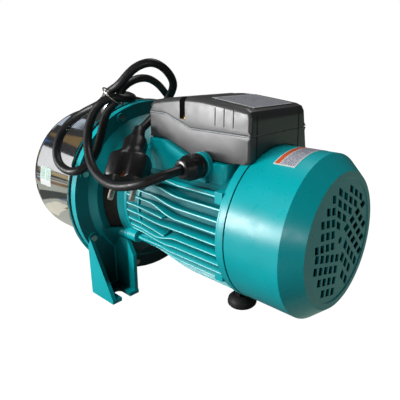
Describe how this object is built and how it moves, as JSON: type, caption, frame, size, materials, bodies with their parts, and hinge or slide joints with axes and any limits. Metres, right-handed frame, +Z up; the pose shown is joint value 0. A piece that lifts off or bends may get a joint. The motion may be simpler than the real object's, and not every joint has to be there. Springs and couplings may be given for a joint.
{
  "type": "shallow well jet pump",
  "caption": "Self-priming jet pump: stainless bowl on a cast bracket with feet, finned electric motor, terminal box, fan cover and mains cord with plug.",
  "frame": {"origin": "middle of the bounding box, on the surface the feet stand on, without the cord", "axes": "+X along the shaft from the suction port to the fan cover, +Z up, -Y the side with the cable gland"},
  "size_m": [0.3912, 0.2063, 0.2418],
  "materials": {
    "stainless": "mirror polished pressed stainless steel",
    "stainless_machined": "turned stainless steel",
    "teal_paint": "satin teal enamel on die-cast aluminium",
    "teal_sheet": "satin teal enamel on pressed steel",
    "black_rubber": "matt black rubber",
    "zinc_steel": "zinc plated steel",
    "brass": "turned brass",
    "white_plastic": "moulded plastic",
    "black_plastic": "moulded black plastic",
    "box_plastic": "satin dark grey moulded plastic",
    "shaft_steel": "ground steel",
    "silicon_steel": "stacked laminations",
    "copper": "enamelled copper",
    "ceramic": "lapped ceramic",
    "carbon": "carbon graphite",
    "cord_rubber": "black rubber cord sheath",
    "label_foil": "printed foil",
    "label_orange": "printed foil",
    "label_white": "printed foil",
    "cap_film": "capacitor can",
    "nickel": "nickel plated brass"
  },
  "bodies": {
    "pump": {"pump_body": "stainless", "suction_port": "stainless_machined", "discharge_port": "stainless_machined", "priming_boss": "stainless_machined", "drain_boss": "stainless_machined", "ejector_body": "white_plastic", "nozzle": "brass", "venturi_tube": "white_plastic", "diffuser": "white_plastic", "seal_plate": "stainless", "seal_seat": "ceramic", "body_gasket": "black_rubber", "flange_bolts": "zinc_steel", "motor_bracket": "teal_paint", "front_bearing_outer": "shaft_steel", "rear_bearing_outer": "shaft_steel", "motor_frame": "teal_paint", "stator_core": "silicon_steel", "stator_windings": "copper", "rear_shield": "teal_paint", "tie_bolts": "teal_paint", "fan_cover": "teal_sheet", "box_gasket": "black_rubber", "terminal_box_base": "box_plastic", "terminal_box_cover": "box_plastic", "box_screws": "brass", "capacitor": "cap_film", "terminal_block": "white_plastic", "gland_body": "black_plastic", "gland_nut": "black_plastic", "foot_pad": "black_rubber", "foot_post": "black_plastic", "foot_screw": "zinc_steel", "rating_label": "label_foil", "cover_label": "label_orange", "body_label": "label_white", "power_cord": "cord_rubber", "plug_body": "black_plastic", "plug_pins": "nickel", "plug_earth_contacts": "copper", "wire_tie": "zinc_steel"},
    "rotor": {"shaft": "shaft_steel", "slinger": "black_rubber", "front_bearing_inner": "shaft_steel", "rear_bearing_inner": "shaft_steel", "rotor_core": "silicon_steel", "fan": "black_plastic", "fan_clip": "shaft_steel", "impeller": "brass", "impeller_nut": "stainless_machined", "seal_head": "carbon", "seal_spring": "stainless_machined"},
    "priming_plug": {"priming_plug": "brass", "priming_seal_ring": "black_rubber"},
    "drain_plug": {"drain_plug": "brass", "drain_seal_ring": "black_rubber"}
  },
  "joints": [
    {"name": "shaft_spin", "type": "hinge", "parent": "pump", "child": "rotor", "pos_m": [0, 0, 0.1], "axis": [1, 0, 0], "continuous": true},
    {"name": "priming_plug_pull", "type": "slide", "parent": "pump", "child": "priming_plug", "axis": [-1, 0, 0], "range_m": [0, 0.014]},
    {"name": "drain_plug_pull", "type": "slide", "parent": "pump", "child": "drain_plug", "axis": [-1, 0, 0], "range_m": [0, 0.014]}
  ]
}
